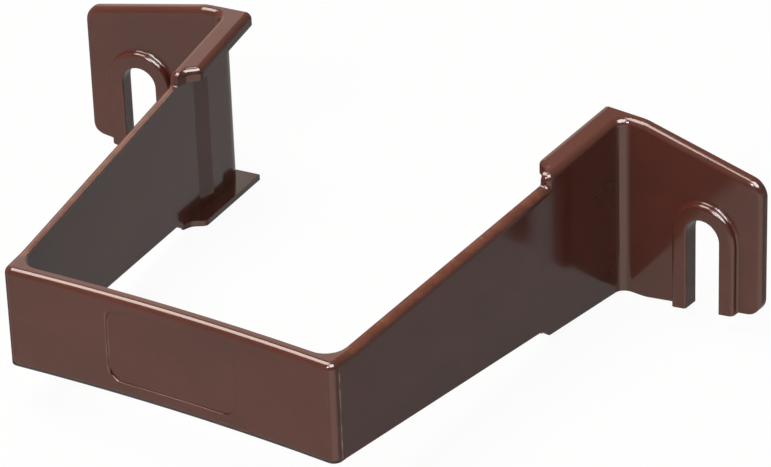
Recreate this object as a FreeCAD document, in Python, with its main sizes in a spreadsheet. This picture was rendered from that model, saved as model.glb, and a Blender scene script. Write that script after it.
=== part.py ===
import FreeCAD, Part
import math
import os
import Sketcher

# Downpipe clip, one moulded piece, in millimetres.
# The origin lies on the wall plane midway between the feet, at half the height of the band.
# X runs along the wall, Y points into the wall and Z is up.

SIZES = (
    ("pocket_width", 66.0),
    ("wall", 2.0),
    ("splay", 5.8),
    ("band_height", 20.3),
    ("band_thickness", 2.4),
    ("band_bow", 1.3),
    ("outer_corner_radius", 1.8),
    ("inner_corner_radius", 4.2),
    ("arm_length", 89.9),
    ("upper_start", 7.0),
    ("upper_taper", 4.4),
    ("lower_start", 3.0),
    ("lower_taper", 4.25),
    ("edge_radius", 1.35),
    ("step_root_radius", 0.55),
    ("step_nose_radius", 1.6),
    ("flange_reach", 65.0),
    ("flange_rise", 2.25),
    ("flange_thickness", 2.65),
    ("flange_edge_radius", 1.25),
    ("shelf_reach", 63.5),
    ("shelf_drop", 1.8),
    ("shelf_thickness", 1.2),
    ("lip_width", 3.3),
    ("lip_setback", 3.9),
    ("lip_sweep_radius", 2.2),
    ("lip_tip_radius", 1.45),
    ("stop_reach", 71.1),
    ("stop_ramp", 4.5),
    ("stop_length", 8.4),
    ("stop_height", 0.7),
    ("foot_length", 30.9),
    ("foot_thickness", 2.0),
    ("foot_shoulder", 4.4),
    ("foot_end_rise", 13.65),
    ("foot_end_drop", 13.75),
    ("shoulder_radius", 8.0),
    ("foot_corner_radius", 3.5),
    ("junction_radius", 2.2),
    ("rear_turn_radius", 5.0),
    ("slot_offset", 18.85),
    ("slot_drop", 0.45),
    ("slot_width", 7.2),
    ("slot_edge_radius", 0.4),
    ("rim_width", 3.3),
    ("rim_height", 1.4),
    ("rim_edge_radius", 0.85),
    ("rim_root_radius", 0.5),
    ("leg_drop", 0.3),
    ("panel_width", 27.2),
    ("panel_height", 15.2),
    ("panel_depth", 0.2),
    ("panel_corner_radius", 3.1),
    ("panel_edge_radius", 0.17),
)

# Lengths worked out from the sizes above
MARGIN = "8"
SINE = "sin(Sizes.splay * 1deg)"
COSINE = "cos(Sizes.splay * 1deg)"
HALF_WIDTH = "(Sizes.pocket_width / 2 + Sizes.wall)"
HALF_BAND = "(Sizes.band_height / 2)"
REACH = f"(Sizes.arm_length * {COSINE} + (Sizes.wall + Sizes.lip_width) * {SINE})"
FAR = f"(Sizes.arm_length + {MARGIN})"
FLANGE_ROOT = "(-Sizes.wall / 4)"
SHELF_ROOT = "(-Sizes.wall * 3 / 4)"
LIP_EDGE = "(-Sizes.wall - Sizes.lip_width)"
LIP_BEND = "(-Sizes.wall - 0.22 * Sizes.lip_width)"
STOP_TOP = "(Sizes.stop_reach + Sizes.stop_ramp)"
STOP_END = "(Sizes.stop_reach + Sizes.stop_length)"
STOP_FACE = "(-Sizes.wall - Sizes.stop_height)"
REAR_TURN = f"min(Sizes.rear_turn_radius; 0.8 * (Sizes.arm_length - {STOP_END}))"
FOOT_FRONT = "(Sizes.arm_length - Sizes.foot_thickness)"
FOOT_MIDDLE = "(Sizes.arm_length - Sizes.foot_thickness / 2)"
FOOT_RUN = "(Sizes.foot_length - Sizes.foot_shoulder)"
FOOT_FAR = f"(Sizes.foot_length + {MARGIN})"
ROUND_START = "(Sizes.foot_length - Sizes.foot_corner_radius)"
RIM_FRONT = f"({FOOT_FRONT} - Sizes.rim_height)"
RIM_RADIUS = "(Sizes.slot_width / 2 + Sizes.rim_width)"


class Side:
    """The upper or the lower profile of an arm and its foot, as expressions."""

    def __init__(self, name, sign, reach, step, end):
        self.name = name
        self.sign = sign
        self.start = f"Sizes.{name}_start"
        self.taper = f"Sizes.{name}_taper"
        self.reach = reach
        self.step = step
        self.end = end

    def arm(self, along):
        """Height of the arm's edge at a distance along the arm."""
        rise = f"({along} - {self.start}) * tan({self.taper} * 1deg)"
        return f"({self.sign} * ({HALF_BAND} + {rise}))"

    def rear(self, along):
        """Height of the deeper rear wall's edge at a distance along the arm."""
        return f"({self.arm(along)} + {self.sign} * {self.step})"

    def slope(self):
        """Fall of the foot's edge, away from the arm."""
        return f"(({self.sign} * {self.rear('Sizes.arm_length')} - {self.end}) / {FOOT_RUN})"

    def foot(self, out):
        """Height of the foot's edge at a distance out from the arm."""
        fall = f"({out} - Sizes.foot_shoulder) * {self.slope()}"
        return f"({self.rear('Sizes.arm_length')} - {self.sign} * {fall})"

    def clear(self):
        """A height beyond the whole clip on this side."""
        return f"({self.rear('Sizes.arm_length')} + {self.sign} * 2 * {MARGIN})"


UPPER = Side("upper", 1, "Sizes.flange_reach", "Sizes.flange_rise", "Sizes.foot_end_rise")
LOWER = Side("lower", -1, "Sizes.shelf_reach", "Sizes.shelf_drop", "Sizes.foot_end_drop")
NOSE = f"min(Sizes.step_nose_radius; {UPPER.step} - Sizes.step_root_radius - 0.05)"
HEEL = f"min(Sizes.step_nose_radius; {LOWER.step} - Sizes.step_root_radius - 0.05)"
EDGE = f"min(Sizes.edge_radius; 0.8 * Sizes.wall; 0.9 * {NOSE})"
TALL = f"(max({UPPER.rear('Sizes.arm_length')}; -{LOWER.rear('Sizes.arm_length')}) + {MARGIN})"

doc = FreeCAD.newDocument("downpipe_clip")
sheet = doc.addObject("Spreadsheet::Sheet", "Sizes")
for row, (alias, size) in enumerate(SIZES, 1):
    sheet.set(f"A{row}", alias)
    sheet.set(f"B{row}", str(size))
    sheet.setAlias(f"B{row}", alias)
doc.recompute()


def value(expression):
    """The number that an expression has with the present sizes."""
    return float(sheet.evalExpression(expression))


def planes_of(body):
    """The origin planes of a body, by role."""
    return {feature.Role: feature for feature in body.Origin.OriginFeatures}


def add_sketch(body, name, support, mode="FlatFace", shift=None):
    """A sketch on a plane, moved along the plane's own axes by expressions."""
    sketch = body.newObject("Sketcher::SketchObject", name)
    sketch.AttachmentSupport = [(support, "")]
    sketch.MapMode = mode
    for axis, expression in (shift or {}).items():
        sketch.setExpression(f"AttachmentOffset.Base.{axis}", expression)
    return sketch


def place(corner):
    """The point of a pair of expressions."""
    return FreeCAD.Vector(value(corner[0]), value(corner[1]), 0)


def bind(sketch, kind, *where):
    """Add a constraint whose last argument is an expression."""
    expression = where[-1]
    index = sketch.addConstraint(Sketcher.Constraint(kind, *where[:-1], value(expression)))
    sketch.setExpression(f"Constraints[{index}]", expression)


def hold(sketch, curve, point, corner):
    """Keep one point of a curve at a pair of expressions."""
    bind(sketch, "DistanceX", -1, 1, curve, point, corner[0])
    bind(sketch, "DistanceY", -1, 1, curve, point, corner[1])


def outline(sketch, corners):
    """A closed polygon through pairs of expressions."""
    places = [place(corner) for corner in corners]
    ends = places[1:] + places[:1]
    lines = [sketch.addGeometry(Part.LineSegment(*pair), False) for pair in zip(places, ends)]
    for line, following in zip(lines, lines[1:] + lines[:1]):
        sketch.addConstraint(Sketcher.Constraint("Coincident", line, 2, following, 1))
    for line, corner in zip(lines, corners):
        hold(sketch, line, 1, corner)


def arch(sketch, radius, left_end, right_end):
    """An arch about the fixing screw with two straight legs and a straight foot."""
    middle = ("Sizes.slot_offset", "-Sizes.slot_drop")
    centre = place(middle)
    reach = FreeCAD.Vector(value(radius), 0, 0)
    circle = Part.Circle(centre, FreeCAD.Vector(0, 0, 1), reach.x)
    crown = sketch.addGeometry(Part.ArcOfCircle(circle, 0, math.pi), False)
    low_left = FreeCAD.Vector(centre.x - reach.x, value(left_end), 0)
    low_right = FreeCAD.Vector(centre.x + reach.x, value(right_end), 0)
    left = sketch.addGeometry(Part.LineSegment(centre - reach, low_left), False)
    low = sketch.addGeometry(Part.LineSegment(low_left, low_right), False)
    right = sketch.addGeometry(Part.LineSegment(low_right, centre + reach), False)
    sketch.addConstraint(Sketcher.Constraint("Tangent", crown, 2, left, 1))
    sketch.addConstraint(Sketcher.Constraint("Coincident", left, 2, low, 1))
    sketch.addConstraint(Sketcher.Constraint("Coincident", low, 2, right, 1))
    sketch.addConstraint(Sketcher.Constraint("Tangent", right, 2, crown, 1))
    sketch.addConstraint(Sketcher.Constraint("Vertical", left))
    sketch.addConstraint(Sketcher.Constraint("Vertical", right))
    hold(sketch, crown, 3, middle)
    bind(sketch, "Radius", crown, radius)
    bind(sketch, "DistanceY", -1, 1, left, 2, left_end)
    bind(sketch, "DistanceY", -1, 1, right, 1, right_end)


def settle(feature):
    """Recompute and stop at a feature that did not build."""
    doc.recompute()
    for item in doc.Objects:
        if "Invalid" in item.State or "Error" in item.State:
            raise RuntimeError(f"{item.Label} did not build: {item.State}")
    if feature.Shape.isNull() or not feature.Shape.isValid():
        raise RuntimeError(f"{feature.Label} has no valid shape")
    return feature


def pad(body, name, sketch, length, side="One side"):
    """Thicken a sketch."""
    feature = body.newObject("PartDesign::Pad", name)
    feature.Profile = sketch
    feature.SideType = side
    feature.setExpression("Length", length)
    return settle(feature)


def pocket(body, name, sketch, length, side="One side"):
    """Cut a sketch away."""
    feature = body.newObject("PartDesign::Pocket", name)
    feature.Profile = sketch
    feature.SideType = side
    feature.setExpression("Length", length)
    return settle(feature)


def edge_near(shape, target):
    """The name of the edge whose middle is nearest to a point."""
    distances = []
    for index, edge in enumerate(shape.Edges, 1):
        middle = edge.valueAt((edge.FirstParameter + edge.LastParameter) / 2)
        distances.append((middle.distanceToPoint(target), f"Edge{index}"))
    return min(distances)[1]


def fillet(body, name, targets, radius):
    """Round the edges nearest to some points, with the edges tangent to them."""
    base = body.Tip
    feature = body.newObject("PartDesign::Fillet", name)
    feature.Base = (base, sorted({edge_near(base.Shape, target) for target in targets}))
    feature.setExpression("Radius", radius)
    return settle(feature)


def in_arm(out, along, up):
    """A point given in the frame of an arm: out from its face, along it, and up."""
    return FreeCAD.Vector(value(out), value(along), value(up))


def in_clip(out, along, up):
    """The same point in the frame of the clip."""
    return arm_frame.Placement.multVec(in_arm(out, along, up))


clip = doc.addObject("PartDesign::Body", "downpipe_clip")
planes = planes_of(clip)
arm_frame = clip.newObject("PartDesign::CoordinateSystem", "arm_frame")
arm_frame.AttachmentSupport = [(planes["XY_Plane"], "")]
arm_frame.MapMode = "FlatFace"
turn = FreeCAD.Rotation(FreeCAD.Vector(0, 0, -1), 1)
arm_frame.AttachmentOffset = FreeCAD.Placement(FreeCAD.Vector(), turn)
arm_frame.setExpression("AttachmentOffset.Base.x", HALF_WIDTH)
arm_frame.setExpression("AttachmentOffset.Base.y", f"-{REACH}")
arm_frame.setExpression("AttachmentOffset.Rotation.Angle", "Sizes.splay")
doc.recompute()

# Arm and foot, square to each other and splayed as one
arm_plan = add_sketch(clip, "arm_plan", arm_frame, "ObjectXY")
outline(arm_plan, (
    ("-Sizes.wall", "Sizes.wall / 2"),
    ("0", "Sizes.wall / 2"),
    ("0", FOOT_FRONT),
    ("Sizes.foot_length", FOOT_FRONT),
    ("Sizes.foot_length", "Sizes.arm_length"),
    ("-Sizes.wall", "Sizes.arm_length"),
))
pad(clip, "arm_and_foot", arm_plan, f"2 * {TALL}", side="Symmetric")

# Front band, bowed in towards the pipe
BOW_RADIUS = f"(({HALF_WIDTH} ^ 2 + Sizes.band_bow ^ 2) / (2 * Sizes.band_bow))"
BAND_END = f"({HALF_WIDTH} - Sizes.wall / 2)"
CORNER = (f"{HALF_WIDTH} + Sizes.wall * {SINE}", f"Sizes.wall * {COSINE}")
band_plan = add_sketch(clip, "band_plan", planes["XY_Plane"], shift={"y": f"-{REACH}"})
bow_centre = FreeCAD.Vector(0, value(f"Sizes.band_bow - {BOW_RADIUS}"), 0)
inner_radius = value(f"{BOW_RADIUS} + Sizes.band_thickness")
inner_end_y = bow_centre.y + (inner_radius ** 2 - value(BAND_END) ** 2) ** 0.5
front_start = place((HALF_WIDTH, "0"))
front_end = place(("0", "Sizes.band_bow"))
inner_start = FreeCAD.Vector(value(BAND_END), inner_end_y, 0)
inner_end = place(("0", "Sizes.band_bow + Sizes.band_thickness"))


def bow(start, end):
    """An arc about the centre of the bow, from its outer end to the middle."""
    radius = start.distanceToPoint(bow_centre)
    first = (start - bow_centre).getAngle(FreeCAD.Vector(1, 0, 0))
    last = (end - bow_centre).getAngle(FreeCAD.Vector(1, 0, 0))
    circle = Part.Circle(bow_centre, FreeCAD.Vector(0, 0, 1), radius)
    return band_plan.addGeometry(Part.ArcOfCircle(circle, first, last), False)


front_arc = bow(front_start, front_end)
middle_line = band_plan.addGeometry(Part.LineSegment(front_end, inner_end), False)
inner_arc = bow(inner_start, inner_end)
end_line = band_plan.addGeometry(Part.LineSegment(inner_start, place(CORNER)), False)
side_line = band_plan.addGeometry(Part.LineSegment(place(CORNER), front_start), False)
for joint in (
    (front_arc, 2, middle_line, 1),
    (middle_line, 2, inner_arc, 2),
    (inner_arc, 1, end_line, 1),
    (end_line, 2, side_line, 1),
    (side_line, 2, front_arc, 1),
    (inner_arc, 3, front_arc, 3),
):
    band_plan.addConstraint(Sketcher.Constraint("Coincident", *joint))
band_plan.addConstraint(Sketcher.Constraint("PointOnObject", front_arc, 3, -2))
hold(band_plan, middle_line, 1, ("0", "Sizes.band_bow"))
hold(band_plan, middle_line, 2, ("0", "Sizes.band_bow + Sizes.band_thickness"))
hold(band_plan, front_arc, 1, (HALF_WIDTH, "0"))
hold(band_plan, side_line, 1, CORNER)
bind(band_plan, "DistanceX", -1, 1, inner_arc, 1, BAND_END)
pad(clip, "front_band", band_plan, f"2 * {TALL}", side="Symmetric")

# Upright corners of the wall seen in plan
inner_at = in_clip("-Sizes.wall", "Sizes.band_thickness", "0")
fillet(clip, "outer_corner", [in_clip("0", "0", "0")], "Sizes.outer_corner_radius")
fillet(clip, "inner_corner", [inner_at], "Sizes.inner_corner_radius")
fillet(clip, "foot_junction", [in_clip("0", FOOT_FRONT, "0")], "Sizes.junction_radius")


def side_cut(side, nose):
    """Cut the wall to one of its side profiles, with a rounded step."""
    cut = add_sketch(clip, f"{side.name}_side", arm_frame, "ObjectYZ")
    outline(cut, (
        (f"-2 * {MARGIN}", side.arm(side.start)),
        (side.start, side.arm(side.start)),
        (side.reach, side.arm(side.reach)),
        (side.reach, side.rear(side.reach)),
        (FAR, side.rear(FAR)),
        (FAR, side.clear()),
        (f"-2 * {MARGIN}", side.clear()),
    ))
    pocket(clip, f"{side.name}_side_cut", cut, f"4 * {HALF_WIDTH}", side="Symmetric")
    root_at = in_clip("-Sizes.wall / 2", side.reach, side.arm(side.reach))
    nose_at = in_clip("-Sizes.wall / 2", side.reach, side.rear(side.reach))
    fillet(clip, f"{side.name}_step_root", [root_at], "Sizes.step_root_radius")
    fillet(clip, f"{side.name}_step_nose", [nose_at], nose)


def foot_cut(side):
    """Cut the foot to one of its slopes, with a rounded outer corner."""
    cut = add_sketch(clip, f"{side.name}_foot", arm_frame, "ObjectXZ", {"z": "-Sizes.arm_length"})
    lean = f"Sizes.foot_corner_radius * sqrt(1 + {side.slope()} ^ 2)"
    middle = (ROUND_START, f"{side.foot(ROUND_START)} - {side.sign} * {lean}")
    corners = (
        ("Sizes.foot_shoulder", side.foot("Sizes.foot_shoulder")),
        (FOOT_FAR, middle[1]),
        (FOOT_FAR, side.clear()),
        ("Sizes.foot_shoulder", side.clear()),
    )
    inner, outer, far, back = (place(corner) for corner in corners)
    centre = place(middle)
    radius = value("Sizes.foot_corner_radius")
    quarter = math.pi / 2 - math.atan(value(side.slope()))
    angles, at_end, at_slope = ((0, quarter), 1, 2) if side.sign > 0 else ((-quarter, 0), 2, 1)
    end = centre + FreeCAD.Vector(radius, 0, 0)
    tangent = centre + FreeCAD.Vector(math.cos(quarter), side.sign * math.sin(quarter), 0) * radius
    circle = Part.Circle(centre, FreeCAD.Vector(0, 0, 1), radius)
    corner_arc = cut.addGeometry(Part.ArcOfCircle(circle, *angles), False)
    pairs = ((inner, tangent), (end, outer), (outer, far), (far, back), (back, inner))
    lines = [cut.addGeometry(Part.LineSegment(*pair), False) for pair in pairs]
    for first, second in zip(lines[1:], lines[2:] + lines[:1]):
        cut.addConstraint(Sketcher.Constraint("Coincident", first, 2, second, 1))
    cut.addConstraint(Sketcher.Constraint("Tangent", lines[0], 2, corner_arc, at_slope))
    cut.addConstraint(Sketcher.Constraint("Coincident", corner_arc, at_end, lines[1], 1))
    cut.addConstraint(Sketcher.Constraint("Horizontal", corner_arc, 3, corner_arc, at_end))
    hold(cut, corner_arc, 3, middle)
    bind(cut, "Radius", corner_arc, "Sizes.foot_corner_radius")
    for line, corner in zip((lines[0], *lines[2:]), corners):
        hold(cut, line, 1, corner)
    pocket(clip, f"{side.name}_foot_cut", cut, "4 * Sizes.foot_thickness", side="Symmetric")
    shoulder = in_clip("Sizes.foot_shoulder", FOOT_MIDDLE, side.rear(FOOT_MIDDLE))
    fillet(clip, f"{side.name}_shoulder", [shoulder], "Sizes.shoulder_radius")


# Upper side: tapered arm, step up to the flange, sloping foot, then one rounded edge along them all
side_cut(UPPER, NOSE)
foot_cut(UPPER)
MID_ARM = "(Sizes.flange_reach / 2)"
fillet(clip, "upper_edge", [in_clip("0", MID_ARM, UPPER.arm(MID_ARM))], EDGE)

# Lower side, left with a crisp edge
side_cut(LOWER, HEEL)
foot_cut(LOWER)


def add_inset(name, corners, low, high):
    """A body along the inside of the rear wall: a plan outline cut off at two heights along the arm."""
    inset = doc.addObject("PartDesign::Body", name)
    inset_planes = planes_of(inset)
    inset.Placement = FreeCAD.Placement(FreeCAD.Vector(), turn)
    inset.setExpression("Placement.Base.x", HALF_WIDTH)
    inset.setExpression("Placement.Base.y", f"-{REACH}")
    inset.setExpression("Placement.Rotation.Angle", "Sizes.splay")
    plan = add_sketch(inset, f"{name}_plan", inset_planes["XY_Plane"])
    outline(plan, corners)
    pad(inset, f"{name}_block", plan, f"2 * {TALL}", side="Symmetric")
    for word, edge, side in (("top", high, UPPER), ("bottom", low, LOWER)):
        cut = add_sketch(inset, f"{name}_{word}", inset_planes["YZ_Plane"])
        outline(cut, (
            (side.start, edge(side.start)),
            (FAR, edge(FAR)),
            (FAR, side.clear()),
            (side.start, side.clear()),
        ))
        pocket(inset, f"{name}_{word}_cut", cut, f"4 * {HALF_WIDTH}", side="Symmetric")
    return inset


def add_lip(name, reach, root, low, high):
    """A lip turned in along the rear wall, its front end swept in from the wall and rounded off."""
    begin = f"({reach} + 0.1 * Sizes.lip_setback)"
    bend = f"({reach} + 0.6 * Sizes.lip_setback)"
    front = f"({reach} + Sizes.lip_setback)"
    lip = add_inset(name, (
        (root, begin),
        ("-Sizes.wall", begin),
        (LIP_BEND, bend),
        (LIP_EDGE, front),
        (LIP_EDGE, "Sizes.arm_length"),
        (root, "Sizes.arm_length"),
    ), low, high)
    half = f"({low(front)} + {high(front)}) / 2"
    fillet(lip, f"{name}_sweep", [in_arm(LIP_BEND, bend, half)], "Sizes.lip_sweep_radius")
    fillet(lip, f"{name}_tip", [in_arm(LIP_EDGE, front, half)], "Sizes.lip_tip_radius")
    return lip


def flange_bottom(along):
    """Lower face of the flange along the arm."""
    return f"({UPPER.rear(along)} - Sizes.flange_thickness)"


def shelf_top(along):
    """Upper face of the shelf along the arm."""
    return f"({LOWER.rear(along)} + Sizes.shelf_thickness)"


def stop_top(along):
    """Upper end of the stop, inside the flange."""
    return f"({flange_bottom(along)} + Sizes.flange_thickness / 3)"


def stop_bottom(along):
    """Lower end of the stop, inside the shelf."""
    return f"({shelf_top(along)} - Sizes.shelf_thickness / 2)"


# Thick flange above and thin shelf below, turned in to hook behind the pipe
flange = add_lip("flange", UPPER.reach, FLANGE_ROOT, flange_bottom, UPPER.rear)
FLANGE_MIDDLE = f"(({UPPER.reach} + Sizes.arm_length) / 2)"
FLANGE_ROUND = "min(Sizes.flange_edge_radius; 0.87 * Sizes.lip_tip_radius)"
crest = in_arm(LIP_EDGE, FLANGE_MIDDLE, UPPER.rear(FLANGE_MIDDLE))
fillet(flange, "flange_edge", [crest], FLANGE_ROUND)
FLANGE_TRIM = f"(-(Sizes.wall + {EDGE}) / 2)"
flange_trim = add_sketch(flange, "flange_trim", planes_of(flange)["XY_Plane"])
outline(flange_trim, (
    (FLANGE_TRIM, "0"),
    (MARGIN, "0"),
    (MARGIN, FAR),
    (FLANGE_TRIM, FAR),
))
pocket(flange, "flange_root", flange_trim, f"4 * {TALL}", side="Symmetric")
shelf = add_lip("shelf", LOWER.reach, SHELF_ROOT, LOWER.rear, shelf_top)

# Shallow ramp and pad between them that stop the back of the pipe
stop = add_inset("pipe_stop", (
    ("-Sizes.wall / 2", "Sizes.stop_reach"),
    ("-Sizes.wall", "Sizes.stop_reach"),
    (STOP_FACE, STOP_TOP),
    (STOP_FACE, STOP_END),
    ("-Sizes.wall / 2", STOP_END),
), stop_bottom, stop_top)

lips = clip.newObject("PartDesign::Boolean", "lips")
lips.Type = "Fuse"
lips.setObjects([flange, shelf, stop])
settle(lips)

# Rounded turn at the back of the rear wall, between the lips
turn_at = in_clip("-Sizes.wall", "Sizes.arm_length", "0")
fillet(clip, "rear_turn", [turn_at], REAR_TURN)

# Raised rim round the fixing slot, its legs running past the foot, and the slot open below
rim_face = add_sketch(clip, "rim_face", arm_frame, "ObjectXZ", {"z": "-Sizes.arm_length"})
RIM_LEFT = f"{LOWER.foot(f'(Sizes.slot_offset - {RIM_RADIUS})')} - Sizes.leg_drop"
RIM_RIGHT = f"{LOWER.foot(f'(Sizes.slot_offset + {RIM_RADIUS})')} - Sizes.leg_drop"
arch(rim_face, RIM_RADIUS, RIM_LEFT, RIM_RIGHT)
pad(clip, "rim", rim_face, "Sizes.foot_thickness + Sizes.rim_height")
RIM_TOP = f"({RIM_RADIUS} - Sizes.slot_drop)"
fillet(clip, "rim_root", [in_clip("Sizes.slot_offset", FOOT_FRONT, RIM_TOP)], "Sizes.rim_root_radius")
RIM_ROUND = "min(Sizes.rim_edge_radius; 0.9 * (Sizes.rim_height - Sizes.rim_root_radius))"
fillet(clip, "rim_edge", [in_clip("Sizes.slot_offset", RIM_FRONT, RIM_TOP)], RIM_ROUND)
slot_face = add_sketch(clip, "slot_face", arm_frame, "ObjectXZ", {"z": "-Sizes.arm_length"})
arch(slot_face, "Sizes.slot_width / 2", LOWER.clear(), LOWER.clear())
pocket(clip, "slot", slot_face, "4 * (Sizes.foot_thickness + Sizes.rim_height)", side="Symmetric")
SLOT_TOP = "(Sizes.slot_width / 2 - Sizes.slot_drop)"
fillet(clip, "slot_edge", [in_clip("Sizes.slot_offset", RIM_FRONT, SLOT_TOP)], "Sizes.slot_edge_radius")

# Shallow bare panel in the middle of the band, with a rounded rim
panel_face = add_sketch(clip, "panel_face", planes["XZ_Plane"], shift={"z": REACH})
outline(panel_face, (
    ("0", "-Sizes.panel_height / 2"),
    ("Sizes.panel_width / 2", "-Sizes.panel_height / 2"),
    ("Sizes.panel_width / 2", "Sizes.panel_height / 2"),
    ("0", "Sizes.panel_height / 2"),
))
pocket(clip, "panel", panel_face, "Sizes.band_bow + Sizes.panel_depth")
panel_y = value(f"Sizes.band_bow - {REACH}")
panel_x = value("Sizes.panel_width / 2")
panel_z = value("Sizes.panel_height / 2")
panel_corners = [FreeCAD.Vector(panel_x, panel_y, height) for height in (-panel_z, panel_z)]
fillet(clip, "panel_corner", panel_corners, "Sizes.panel_corner_radius")
panel_rim = FreeCAD.Vector(panel_x / 2, panel_y, -panel_z)
PANEL_EDGE = "min(Sizes.panel_edge_radius; 0.85 * Sizes.panel_depth)"
fillet(clip, "panel_edge", [panel_rim], PANEL_EDGE)

# The other half, mirrored
whole = clip.newObject("PartDesign::Mirrored", "both_halves")
whole.TransformMode = "Whole shape"
whole.MirrorPlane = (planes["YZ_Plane"], [""])
clip.Tip = whole
settle(whole)

if len(clip.Shape.Solids) != 1:
    raise RuntimeError("the clip is not one solid")
os.makedirs("parts", exist_ok=True)
clip.Shape.exportStep(f"parts/{clip.Label}.step")
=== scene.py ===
"""Downpipe clip in gloss brown plastic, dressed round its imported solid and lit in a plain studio."""

import logging
import math
from dataclasses import dataclass, field
from enum import Enum
from typing import Any, Union

import bpy
from mathutils import Matrix, Vector


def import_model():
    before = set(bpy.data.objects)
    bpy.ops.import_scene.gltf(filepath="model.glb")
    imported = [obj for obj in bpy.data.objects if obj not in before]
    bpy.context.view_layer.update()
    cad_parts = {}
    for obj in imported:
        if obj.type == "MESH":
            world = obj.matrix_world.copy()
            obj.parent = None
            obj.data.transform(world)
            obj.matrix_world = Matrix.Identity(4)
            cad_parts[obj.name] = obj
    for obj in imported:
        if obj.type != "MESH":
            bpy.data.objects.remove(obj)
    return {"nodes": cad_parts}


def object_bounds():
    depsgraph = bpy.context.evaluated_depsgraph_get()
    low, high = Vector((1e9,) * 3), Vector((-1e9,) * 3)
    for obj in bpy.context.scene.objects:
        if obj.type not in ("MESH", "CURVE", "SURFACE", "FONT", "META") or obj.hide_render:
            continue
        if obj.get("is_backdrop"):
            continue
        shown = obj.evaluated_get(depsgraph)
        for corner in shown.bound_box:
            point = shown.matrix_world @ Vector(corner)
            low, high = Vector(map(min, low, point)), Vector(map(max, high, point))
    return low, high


LOG = logging.getLogger("downpipe_clip")
FRAME_WIDTH = 771
MM = 0.001
NOISE_ROUGHNESS = 0.55

Number = Union[float, "Wire"]
Colour = tuple[float, float, float]


class Sum(Enum):
    """The operations of a Math node that the finishes use."""

    ADD = "ADD"
    SUBTRACT = "SUBTRACT"
    MULTIPLY = "MULTIPLY"
    LARGER = "MAXIMUM"
    ABSOLUTE = "ABSOLUTE"


@dataclass(frozen=True)
class Waves:
    """Noise over a surface, with the step that is taken from it where it makes patches."""

    per_metre: float
    detail: float
    low: float = 0.0
    high: float = 1.0
    stretch: Colour | None = None


class Ray(Enum):
    """The kinds of ray that see the studio as a bright ground."""

    CAMERA = "Is Camera Ray"
    GLOSSY = "Is Glossy Ray"
    TRANSMISSION = "Is Transmission Ray"


class Wire:
    """One output of a node; arithmetic on it adds Math nodes to the board."""

    def __init__(self, board: "Board", socket: bpy.types.NodeSocket) -> None:
        """Keep the board and the socket."""
        self.board = board
        self.socket = socket

    def __add__(self, other: Number) -> "Wire":
        """Sum of two values."""
        return self.board.maths(Sum.ADD, self, other)

    def __radd__(self, other: Number) -> "Wire":
        """Sum with a number on the left."""
        return self.board.maths(Sum.ADD, other, self)

    def __sub__(self, other: Number) -> "Wire":
        """Difference of two values."""
        return self.board.maths(Sum.SUBTRACT, self, other)

    def __rsub__(self, other: Number) -> "Wire":
        """Difference with a number on the left."""
        return self.board.maths(Sum.SUBTRACT, other, self)

    def __mul__(self, other: Number) -> "Wire":
        """Product of two values."""
        return self.board.maths(Sum.MULTIPLY, self, other)

    def __rmul__(self, other: Number) -> "Wire":
        """Product with a number on the left."""
        return self.board.maths(Sum.MULTIPLY, other, self)

    def __abs__(self) -> "Wire":
        """Size of a value without its sign."""
        return self.board.maths(Sum.ABSOLUTE, self)

    def step(self, low: float, high: float) -> "Wire":
        """Smooth step from 0 at one value to 1 at another.

        Args:
            low: Value at which the step is still 0.
            high: Value at which the step has reached 1.

        Returns:
            The stepped value.
        """
        settings = {"interpolation_type": "SMOOTHSTEP"}
        limits = {"Value": self, "From Min": low, "From Max": high, "To Min": 0.0, "To Max": 1.0}
        return self.board.node("ShaderNodeMapRange", settings, limits)["Result"]


class Placed:
    """A node on a board, whose outputs are read by name or place."""

    def __init__(self, board: "Board", node: bpy.types.Node) -> None:
        """Keep the board and the node."""
        self.board = board
        self.node = node

    def __getitem__(self, output: Union[str, int]) -> Wire:
        """The wire that leaves one output."""
        return Wire(self.board, self.node.outputs[output])


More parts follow.
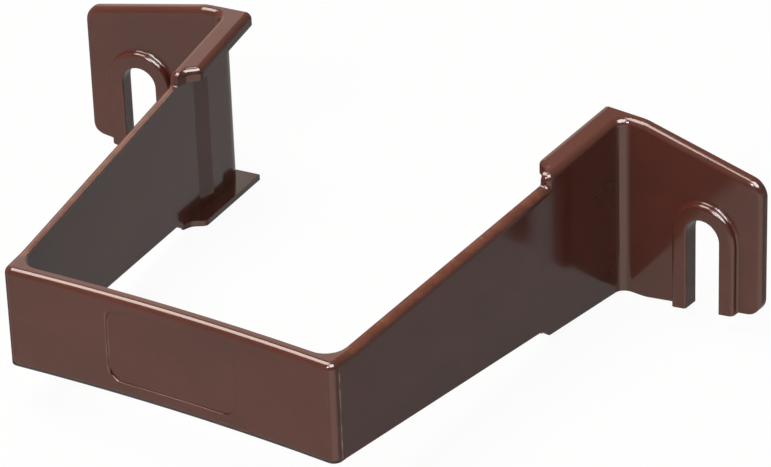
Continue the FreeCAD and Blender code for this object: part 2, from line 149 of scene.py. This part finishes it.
class Board:
    """The node tree of a material or of the world, emptied before use."""

    def __init__(self, tree: bpy.types.NodeTree) -> None:
        """Empty a node tree and keep it."""
        tree.nodes.clear()
        self.tree = tree

    def node(self, kind: str, settings: dict[str, Any] | None = None,
             sockets: dict[Union[str, int], Any] | None = None) -> Placed:
        """Place a node.

        Args:
            kind: Blender's name for the node's type.
            settings: Properties that are set before the sockets.
            sockets: Values or wires by the input's name or place.

        Returns:
            The placed node.
        """
        made = self.tree.nodes.new(kind)
        for name, setting in (settings or {}).items():
            setattr(made, name, setting)
        for name, value in (sockets or {}).items():
            if isinstance(value, Wire):
                self.tree.links.new(value.socket, made.inputs[name])
            else:
                made.inputs[name].default_value = value
        return Placed(self, made)

    def maths(self, operation: Sum, first: Number, second: Number | None = None) -> Wire:
        """One Math node.

        Args:
            operation: What the node works out.
            first: Upper value.
            second: Lower value, where the operation has one.

        Returns:
            The result.
        """
        values = {0: first} if second is None else {0: first, 1: second}
        return self.node("ShaderNodeMath", {"operation": operation.value}, values)[0]

    def blend(self, share: Number, first: Union[Wire, Colour], second: Union[Wire, Colour]) -> Wire:
        """Mix two colours.

        Args:
            share: 0 for the first colour, 1 for the second.
            first: Colour at 0.
            second: Colour at 1.

        Returns:
            The mixed colour.
        """
        colours = {0: share}
        for place, colour in ((6, first), (7, second)):
            colours[place] = colour if isinstance(colour, Wire) else (*colour, 1.0)
        return self.node("ShaderNodeMix", {"data_type": "RGBA"}, colours)[2]

    def mixed(self, share: Number, first: Wire, second: Wire) -> Wire:
        """Mix two shaders.

        Args:
            share: 0 for the first shader, 1 for the second.
            first: Shader at 0.
            second: Shader at 1.

        Returns:
            The mixed shader.
        """
        return self.node("ShaderNodeMixShader", {}, {0: share, 1: first, 2: second})[0]

    def noise(self, place: Wire, waves: Waves) -> Wire:
        """Smooth noise from 0 to 1.

        Args:
            place: Object coordinates.
            waves: Scale, detail and stretch of the noise.

        Returns:
            The noise value.
        """
        if waves.stretch:
            place = self.node("ShaderNodeMapping", {}, {"Vector": place, "Scale": waves.stretch})["Vector"]
        sockets = {"Vector": place, "Scale": waves.per_metre, "Detail": waves.detail, "Roughness": NOISE_ROUGHNESS}
        return self.node("ShaderNodeTexNoise", {}, sockets)[0]

    def patches(self, place: Wire, waves: Waves) -> Wire:
        """Noise stepped into soft patches of 1 on 0."""
        return self.noise(place, waves).step(waves.low, waves.high)

    def place(self) -> Wire:
        """Object coordinates."""
        return self.node("ShaderNodeTexCoord")["Object"]

    def axes(self, place: Wire) -> tuple[Wire, Wire, Wire]:
        """The three numbers of a place."""
        parts = self.node("ShaderNodeSeparateXYZ", {}, {"Vector": place})
        return parts["X"], parts["Y"], parts["Z"]

    def seen_by(self, *rays: Ray) -> Wire:
        """1 for the named kinds of ray, else 0.

        Args:
            rays: Kinds of ray.

        Returns:
            The largest of their flags.
        """
        path = self.node("ShaderNodeLightPath")
        flag = path[rays[0].value]
        for ray in rays[1:]:
            flag = self.maths(Sum.LARGER, flag, path[ray.value])
        return flag

    def finish(self, kind: str, shader: Wire) -> None:
        """End the board in its output node.

        Args:
            kind: Blender's name for the output's type.
            shader: What it shows.
        """
        self.node(kind, {}, {"Surface": shader})


def ahead_of(y: Wire, rear_y: float, fade: float = 0.5 * MM) -> Wire:
    """1 in front of a line across the clip, fading to 0 at it.

    Args:
        y: Way from front to wall.
        rear_y: Where the line is.
        fade: How far before the line the fading starts.

    Returns:
        The share.
    """
    return 1.0 - y.step(rear_y - fade, rear_y)


@dataclass(frozen=True)
class GlossPlastic:
    """Moulded gloss plastic, brown right through, with the marks of its mould, painted sheen on the arms' top edges,
    painted highlights on the corner seams and panel edge, and painted shade on the band's lower edge.
    """

    name: str = "gloss_brown_plastic"
    brown: Colour = (0.080, 0.0205, 0.0135)
    flow_brown: Colour = (0.066, 0.0170, 0.0115)
    # painted sheen: lighter orange brown along the arms' top edges
    edge_sheen_brown: Colour = (0.135, 0.043, 0.024)
    # pale tan for the nicks, and for the painted highlights on the corner seams and the panel's left edge
    nick_and_highlight_tan: Colour = (0.300, 0.190, 0.140)
    # painted shade along the band's lower edge
    painted_edge_shade: Colour = (0.018, 0.013, 0.012)
    roughness: float = 0.12
    dull_roughness: float = 0.18
    index: float = 1.5
    sink_height: float = 0.00012
    peel_height: float = 0.000002
    seam_height: float = 0.00004
    flow: Waves = Waves(45.0, 3.0, 0.35, 0.70, (1.0, 0.45, 1.6))
    cloud: Waves = Waves(160.0, 4.0, 0.30, 0.75)
    mottle: Waves = Waves(330.0, 2.0, 0.35, 0.65)
    grain: Waves = Waves(1500.0, 2.0, 0.66, 0.72)
    sink: Waves = Waves(55.0, 1.0)
    peel: Waves = Waves(700.0, 2.0)
    flow_share: float = 0.7
    cloud_share: float = 0.3
    cloud_dulling: float = 0.5
    nick_share: float = 0.3
    # share of painted sheen along the arms' top edges
    edge_sheen_shares: tuple[float, float] = (0.35, 0.55)
    # share of painted highlight on the corner seams
    seam_highlight_shares: tuple[float, float] = (0.25, 0.75)
    # share of painted highlight on the panel's left edge
    panel_highlight_shares: tuple[float, float] = (0.26, 0.16)

    def material(self, edge: "ArmEdge", seam: "CornerSeam", lower: "BandLowerEdge",
                 panel: "PanelEdgeHighlight") -> bpy.types.Material:
        """Build the finish.

        Args:
            edge: Where the arms' top edges run, painted lighter there as a sheen, and nicked.
            seam: Where the two halves of the mould met at the front corners, painted paler there as a highlight.
            lower: Where the band's lower edge is rounded off and darkened with painted shade.
            panel: Where the panel's left edge is painted paler as a highlight.

        Returns:
            The material.
        """
        made = bpy.data.materials.new(self.name)
        made.use_nodes = True
        board = Board(made.node_tree)
        place = board.place()
        cloud = board.patches(place, self.cloud)
        mottle = board.patches(place, self.mottle)
        along_edge = edge.near(board, place)
        along_seam = seam.near(board, place)
        nicks = board.patches(place, self.grain) * along_edge
        edge_sheen_share, seam_highlight_share, panel_highlight_share = (
            least + mottle * more for least, more in (self.edge_sheen_shares, self.seam_highlight_shares, self.panel_highlight_shares)
        )
        flowed = board.patches(place, self.flow) * self.flow_share + cloud * self.cloud_share
        body = board.blend(flowed, self.brown, self.flow_brown)
        # painted sheen: the arms' top edges painted lighter, as where their rounding catches the light
        edge_sheen = board.blend(along_edge * edge_sheen_share, body, self.edge_sheen_brown)
        # pale nicks, with painted highlights on the corner seams and the panel's left edge
        pale = nicks * self.nick_share + along_seam * seam_highlight_share + panel.near(board, place) * panel_highlight_share
        marked_and_highlit = board.blend(pale, edge_sheen, self.nick_and_highlight_tan)
        # painted shade: darker along the band's lower edge
        colour = board.blend(lower.near(board, place), marked_and_highlit, self.painted_edge_shade)
        dulled = cloud * self.cloud_dulling + nicks + along_seam
        gloss = self.roughness + (self.dull_roughness - self.roughness) * dulled
        sunk = board.noise(place, self.sink) * self.sink_height
        peeled = board.noise(place, self.peel) * self.peel_height
        height = sunk + peeled + along_seam * self.seam_height
        relief = {"Strength": 1.0, "Distance": 1.0, "Height": height - lower.fall(board, place)}
        normal = board.node("ShaderNodeBump", {}, relief)["Normal"]
        shader = board.node("ShaderNodeBsdfPrincipled", {}, {
            "Base Color": colour,
            "Roughness": gloss,
            "IOR": self.index,
            "Normal": normal,
        })[0]
        board.finish("ShaderNodeOutputMaterial", shader)
        return made


@dataclass(frozen=True)
class ArmEdge:
    """The sloping top edge of the arms, painted lighter there as a sheen, where the mould left small nicks."""

    front_height: float = 10.15 * MM
    front_y: float = -83.0 * MM
    front_fade: float = 4.0 * MM
    rear_y: float = -26.0 * MM
    rear_fade: float = 2.0 * MM
    rise: float = math.tan(math.radians(4.4))
    depth: float = 1.1 * MM
    over: float = 0.5 * MM

    def near(self, board: Board, place: Wire) -> Wire:
        """How near a place is to the edge, which sets the share of painted sheen there.

        Args:
            board: Board of the finish.
            place: Object coordinates.

        Returns:
            1 at the edge, 0 away from it.
        """
        _, y, z = board.axes(place)
        lift = z - self.front_height - (y - self.front_y) * self.rise
        on_edge = lift.step(-self.depth, -0.3 * self.depth) * (1.0 - lift.step(self.over, 2.0 * self.over))
        on_arm = y.step(self.front_y - self.front_fade, self.front_y) * ahead_of(y, self.rear_y, self.rear_fade)
        return on_edge * on_arm


@dataclass(frozen=True)
class CornerSeam:
    """The fine upright line that the mould left beside each front corner, raised by bump and painted paler as a
    highlight.
    """

    y: float = -88.1 * MM
    half_width: float = 0.22 * MM
    outside: float = 34.0 * MM
    outside_fade: float = 0.2 * MM
    top: float = 8.6 * MM
    top_fade: float = 1.0 * MM

    def near(self, board: Board, place: Wire) -> Wire:
        """How near a place is to the seam, which sets the share of its painted highlight.

        Args:
            board: Board of the finish.
            place: Object coordinates.

        Returns:
            1 on the seam, 0 away from it.
        """
        x, y, z = board.axes(place)
        on_line = 1.0 - abs(y - self.y).step(0.5 * self.half_width, self.half_width)
        below_edge = 1.0 - z.step(self.top - self.top_fade, self.top)
        return on_line * abs(x).step(self.outside - self.outside_fade, self.outside) * below_edge


@dataclass(frozen=True)
class BandLowerEdge:
    """The lower front edge of the band, broken by the polishing of the mould into a rounding made by bump, and
    darkened with painted shade.
    """

    bottom: float = -10.15 * MM
    radius: float = 0.80 * MM
    steepest: float = 1.3
    underside_to_front: tuple[float, float] = (-0.8, -0.4)
    rear_y: float = -87.5 * MM

    def on_front(self, board: Board, y: Wire) -> Wire:
        """1 on the faces at the front, 0 behind them and on the underside.

        Args:
            board: Board of the finish.
            y: Way from front to wall.

        Returns:
            The share.
        """
        _, _, upwards = board.axes(board.node("ShaderNodeNewGeometry")["True Normal"])
        return upwards.step(*self.underside_to_front) * ahead_of(y, self.rear_y)

    def near(self, board: Board, place: Wire) -> Wire:
        """How near a place is to the edge, which sets the share of painted shade there.

        Args:
            board: Board of the finish.
            place: Object coordinates.

        Returns:
            1 at the edge, 0 away from it.
        """
        _, y, z = board.axes(place)
        return (1.0 - z.step(self.bottom, self.bottom + self.radius)) * self.on_front(board, y)

    def fall(self, board: Board, place: Wire) -> Wire:
        """How far the surface falls back at a place.

        Args:
            board: Board of the finish.
            place: Object coordinates.

        Returns:
            0 away from the edge, and more towards it.
        """
        _, y, z = board.axes(place)
        below = board.maths(Sum.LARGER, self.bottom + self.radius - z, 0.0)
        return below * below * (0.5 * self.steepest / self.radius) * self.on_front(board, y)


@dataclass(frozen=True)
class PanelEdgeHighlight:
    """The left edge of the shallow panel, painted paler than the face as a highlight."""

    x: float = -13.5 * MM
    half_width: float = 0.26 * MM
    half_height: float = 7.0 * MM
    height_fade: float = 2.0 * MM
    rear_y: float = -87.5 * MM

    def near(self, board: Board, place: Wire) -> Wire:
        """How near a place is to the edge, which sets the share of painted highlight there.

        Args:
            board: Board of the finish.
            place: Object coordinates.

        Returns:
            1 on the edge, 0 away from it.
        """
        x, y, z = board.axes(place)
        on_line = 1.0 - abs(x - self.x).step(0.5 * self.half_width, self.half_width)
        in_height = 1.0 - abs(z).step(self.half_height - self.height_fade, self.half_height)
        return on_line * in_height * ahead_of(y, self.rear_y)


@dataclass
class DownpipeClip:
    """The clip itself, one moulded piece that stays as its solid is."""

    node: str = "downpipe_clip"
    slot: str = "plastic"
    finish: GlossPlastic = field(default_factory=GlossPlastic)
    edge: ArmEdge = field(default_factory=ArmEdge)
    seam: CornerSeam = field(default_factory=CornerSeam)
    lower: BandLowerEdge = field(default_factory=BandLowerEdge)
    panel: PanelEdgeHighlight = field(default_factory=PanelEdgeHighlight)

    def build(self, nodes: dict[str, bpy.types.Object]) -> bpy.types.Object:
        """Take the solid from the frame.

        Args:
            nodes: The frame's nodes by name.

        Returns:
            The clip's object.
        """
        return nodes[self.node]

    def dress(self, piece: bpy.types.Object) -> None:
        """Give the clip its finish.

        Args:
            piece: The clip's object.
        """
        material = self.finish.material(self.edge, self.seam, self.lower, self.panel)
        for slot in piece.material_slots:
            slot.material = material


@dataclass(frozen=True)
class StudioGround:
    """Pale floor that reads as white and keeps a soft shadow, left out of the clip's reflections."""

    name: str = "studio_floor"
    pale: Colour = (0.55, 0.55, 0.54)
    shadow_share: float = 0.05
    side: float = 6.0

    def build(self, height: float) -> bpy.types.Object:
        """Lay the floor.

        Args:
            height: Height of the floor.

        Returns:
            The floor's object.
        """
        bpy.ops.object.select_all(action="DESELECT")
        bpy.ops.mesh.primitive_plane_add(size=self.side, location=(0.0, 0.0, height))
        bpy.ops.object.transform_apply(location=True, rotation=True, scale=True)
        floor = bpy.context.active_object
        floor.name = self.name
        floor.visible_glossy = False
        floor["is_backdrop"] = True
        return floor

    def dress(self, floor: bpy.types.Object) -> None:
        """Give the floor its finish.

        Args:
            floor: The floor's object.
        """
        made = bpy.data.materials.new(self.name)
        made.use_nodes = True
        board = Board(made.node_tree)
        matt = board.node("ShaderNodeBsdfDiffuse", {}, {"Color": (*self.pale, 1.0)})[0]
        white = board.node("ShaderNodeEmission", {}, {"Color": (1.0, 1.0, 1.0, 1.0), "Strength": 1.0})[0]
        shown = board.mixed(self.shadow_share, white, matt)
        shader = board.mixed(board.seen_by(Ray.CAMERA), matt, shown)
        board.finish("ShaderNodeOutputMaterial", shader)
        floor.data.materials.append(made)


@dataclass(frozen=True)
class StudioSky:
    """White surround for what is seen, dim for what it lights, and a bright front for what is mirrored."""

    white: Colour = (1.0, 1.0, 1.0)
    ambient: Colour = (0.08, 0.08, 0.08)
    overhead: Colour = (0.45, 0.42, 0.35)
    in_front: Colour = (0.92, 0.89, 0.825)
    front_left: Colour = (0.70, 0.69, 0.62)
    front_right: Colour = (1.70, 1.45, 1.25)
    behind: Colour = (0.44, 0.48, 0.47)
    shaded: Colour = (0.10, 0.10, 0.10)
    shaded_to_behind: tuple[float, float] = (-0.70, -0.50)
    left_to_front: tuple[float, float] = (-0.60, -0.38)
    front_to_right: tuple[float, float] = (0.05, 0.30)
    front_to_rear: tuple[float, float] = (-0.30, 0.10)
    horizon: tuple[float, float] = (-0.06, 0.02)

    def dress(self, world: bpy.types.World) -> None:
        """Set the world's background.

        Args:
            world: The scene's world.
        """
        world.use_nodes = True
        board = Board(world.node_tree)
        white, ambient, overhead, in_front, front_left, front_right, behind, shaded = (
            board.node("ShaderNodeBackground", {}, {"Color": (*colour, 1.0), "Strength": 1.0})[0]
            for colour in (self.white, self.ambient, self.overhead, self.in_front, self.front_left, self.front_right,
                           self.behind, self.shaded)
        )
        x, y, z = board.axes(board.place())
        rear = board.mixed(x.step(*self.shaded_to_behind), shaded, behind)
        left = board.mixed(x.step(*self.left_to_front), front_left, in_front)
        front = board.mixed(x.step(*self.front_to_right), left, front_right)
        below = board.mixed(y.step(*self.front_to_rear), front, rear)
        mirrored = board.mixed(z.step(*self.horizon), below, overhead)
        unseen = board.mixed(board.seen_by(Ray.GLOSSY, Ray.TRANSMISSION), ambient, mirrored)
        board.finish("ShaderNodeOutputWorld", board.mixed(board.seen_by(Ray.CAMERA), unseen, white))


@dataclass(frozen=True)
class Softbox:
    """A lamp with a square or oblong face turned to the clip, a metre away."""

    name: str
    towards: Colour
    width: float
    length: float
    level: float
    colour: Colour = (1.0, 1.0, 1.0)
    only_mirrored: bool = False
    distance: float = 1.0

    def build(self, aim: Vector) -> bpy.types.Object:
        """Hang the lamp.

        Args:
            aim: What the lamp faces.

        Returns:
            The lamp's object.
        """
        lamp = bpy.data.lights.new(self.name, "AREA")
        lamp.shape = "RECTANGLE"
        lamp.size = self.width
        lamp.size_y = self.length
        lamp.color = self.colour
        lamp.energy = self.level * math.pi ** 2 * self.distance ** 2
        made = bpy.data.objects.new(self.name, lamp)
        bpy.context.scene.collection.objects.link(made)
        direction = Vector(self.towards).normalized()
        made.location = aim + direction * self.distance
        made.rotation_euler = direction.to_track_quat("Z", "Y").to_euler()
        made.visible_camera = False
        made.visible_diffuse = not self.only_mirrored
        return made


@dataclass(frozen=True)
class PhotoCamera:
    """Camera at the photograph's angle, in degrees, metres and pixels of its frame."""

    yaw: float = 32.2738
    pitch: float = 30.636
    roll: float = -2.057
    focal_pixels: float = 4551.76
    place: Colour = (0.39758, -0.64535, 0.42938)
    sensor_width: float = 36.0
    nearest: float = 0.01
    farthest: float = 50.0
    name: str = "photo_camera"

    def build(self) -> bpy.types.Object:
        """Set the camera up and make it the scene's own.

        Returns:
            The camera's object.
        """
        camera = bpy.data.cameras.new(self.name)
        camera.sensor_fit = "HORIZONTAL"
        camera.sensor_width = self.sensor_width
        camera.lens = self.focal_pixels * self.sensor_width / FRAME_WIDTH
        camera.clip_start = self.nearest
        camera.clip_end = self.farthest
        made = bpy.data.objects.new(self.name, camera)
        bpy.context.scene.collection.objects.link(made)
        turn = Matrix.Rotation(math.radians(self.yaw), 4, "Z")
        tilt = Matrix.Rotation(math.radians(90.0 - self.pitch), 4, "X")
        lean = Matrix.Rotation(math.radians(self.roll), 4, "Z")
        made.matrix_world = Matrix.Translation(Vector(self.place)) @ turn @ tilt @ lean
        bpy.context.scene.camera = made
        return made


@dataclass
class Studio:
    """Floor, surround, lamps and camera."""

    ground: StudioGround = field(default_factory=StudioGround)
    sky: StudioSky = field(default_factory=StudioSky)
    camera: PhotoCamera = field(default_factory=PhotoCamera)
    lamps: tuple[Softbox, ...] = (
        Softbox("overhead_softbox", towards=(-0.37, -0.03, 0.93), width=0.70, length=0.50, level=1.40,
                colour=(1.0, 0.90, 0.83)),
        Softbox("front_softbox", towards=(0.0, -0.80, 0.60), width=0.22, length=0.22, level=0.60),
        Softbox("side_softbox", towards=(0.65, -0.08, 0.75), width=0.13, length=0.13, level=0.10),
        Softbox("rear_softbox", towards=(-0.635, 0.60, 0.42), width=0.45, length=0.45, level=0.06,
                colour=(1.0, 0.95, 0.87)),
        Softbox("front_card", towards=(0.40, -0.30, 0.87), width=0.75, length=0.75, level=3.00, only_mirrored=True),
    )

    def build(self, low: Vector, high: Vector) -> None:
        """Set the studio round the clip.

        Args:
            low: Lowest corner of the clip.
            high: Highest corner of the clip.
        """
        floor = self.ground.build(low.z)
        self.ground.dress(floor)
        LOG.info("floor at %.4f m", low.z)
        scene = bpy.context.scene
        scene.world = scene.world or bpy.data.worlds.new("studio_surround")
        self.sky.dress(scene.world)
        for lamp in self.lamps:
            lamp.build((low + high) / 2)
            LOG.info("lamp %s", lamp.name)
        self.camera.build()
        scene.view_settings.view_transform = "Standard"


def main() -> None:
    """Load the frame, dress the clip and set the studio."""
    logging.basicConfig(level=logging.INFO, format="%(name)s: %(message)s")
    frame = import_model()
    cad_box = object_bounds()
    clip = DownpipeClip()
    piece = clip.build(frame["nodes"])
    clip.dress(piece)
    LOG.info("piece %s with %d faces", piece.name, len(piece.data.polygons))
    Studio().build(*cad_box)


if __name__ == "__main__":
    main()
